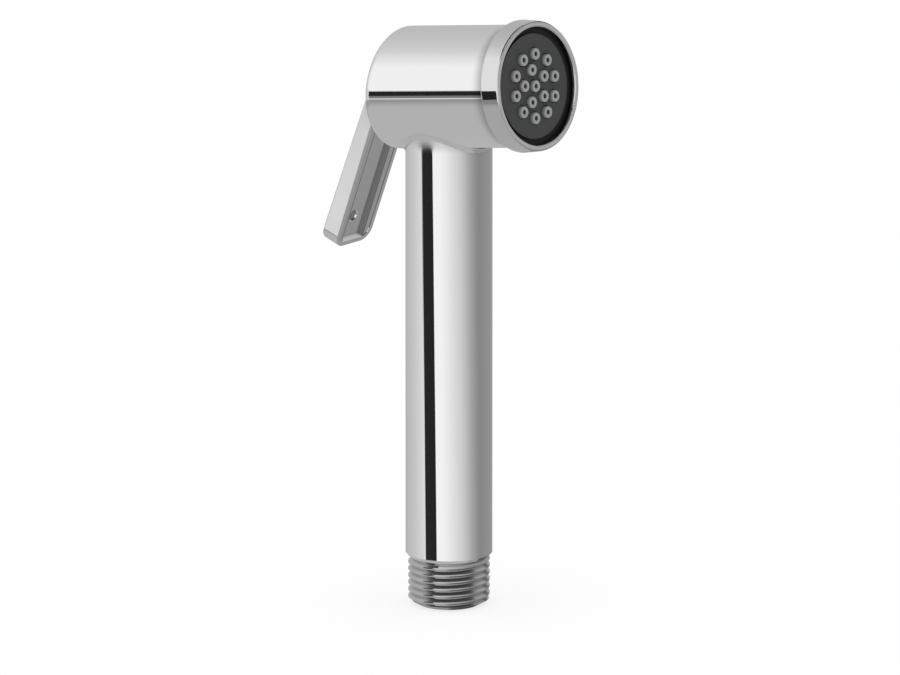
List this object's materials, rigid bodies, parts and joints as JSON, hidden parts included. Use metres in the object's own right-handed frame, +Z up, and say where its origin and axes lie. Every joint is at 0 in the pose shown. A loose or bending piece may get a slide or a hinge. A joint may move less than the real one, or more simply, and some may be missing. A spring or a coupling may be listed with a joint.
{
  "type": "bidet health faucet",
  "caption": "Hand-held bidet spray: a tube handle with a threaded inlet, a barrel head with a nozzle face, and a thumb lever that opens a sprung valve.",
  "frame": {"origin": "centre of the inlet's end face, on the handle's axis", "axes": "+Z up the handle's axis, +X towards the side that sprays, XZ the plane of symmetry"},
  "size_m": [0.068, 0.034, 0.1567],
  "materials": {
    "chrome_casting": "mirror chrome plate on brass",
    "chrome_thread": "chrome plate on a cut thread",
    "chrome_ring": "mirror chrome plate",
    "chrome_lever": "mirror chrome plate",
    "lever_grey": "satin grey plate",
    "face_plastic": "fine matt black",
    "nozzle_rubber": "soft grey silicone",
    "seal_rubber": "black nitrile rubber",
    "strainer_plastic": "moulded white acetal",
    "carrier_plastic": "moulded black acetal",
    "brass": "turned brass",
    "steel": "stainless steel"
  },
  "bodies": {
    "spray_body": {"body": "chrome_casting", "inlet_shank": "chrome_thread", "shank_o_ring": "seal_rubber", "inlet_strainer": "strainer_plastic", "front_ring": "chrome_ring", "face_gasket": "seal_rubber", "face_plate": "face_plastic", "nozzle_mat": "nozzle_rubber", "distributor": "strainer_plastic", "valve_sleeve": "brass", "sleeve_rear_o_ring": "seal_rubber", "sleeve_front_o_ring": "seal_rubber", "spring_seat": "brass", "valve_spring": "steel", "lever_carrier": "carrier_plastic", "pivot_pin": "steel"},
    "lever": {"lever_core": "lever_grey", "lever_cap": "chrome_lever", "lever_screw": "steel"},
    "stem": {"valve_stem": "brass", "stem_o_ring": "seal_rubber", "valve_washer": "seal_rubber", "washer_cup": "brass", "stem_nut": "steel"}
  },
  "joints": [
    {"name": "lever_pivot", "type": "hinge", "parent": "spray_body", "child": "lever", "pos_m": [-0.011, 0, 0.1435], "axis": [0, -1, 0], "range_deg": [0, 10], "stiffness_Nm_per_rad": 0.25, "springref_deg": -28.65},
    {"name": "stem_slide", "type": "slide", "parent": "spray_body", "child": "stem", "axis": [0.989, 0, 0.1478], "range_m": [0, 0.0016], "deforming": ["valve_spring"]}
  ],
  "couplings": [
    {"joint": "stem_slide", "follows": "lever_pivot", "m_per_rad": 0.009044}
  ]
}
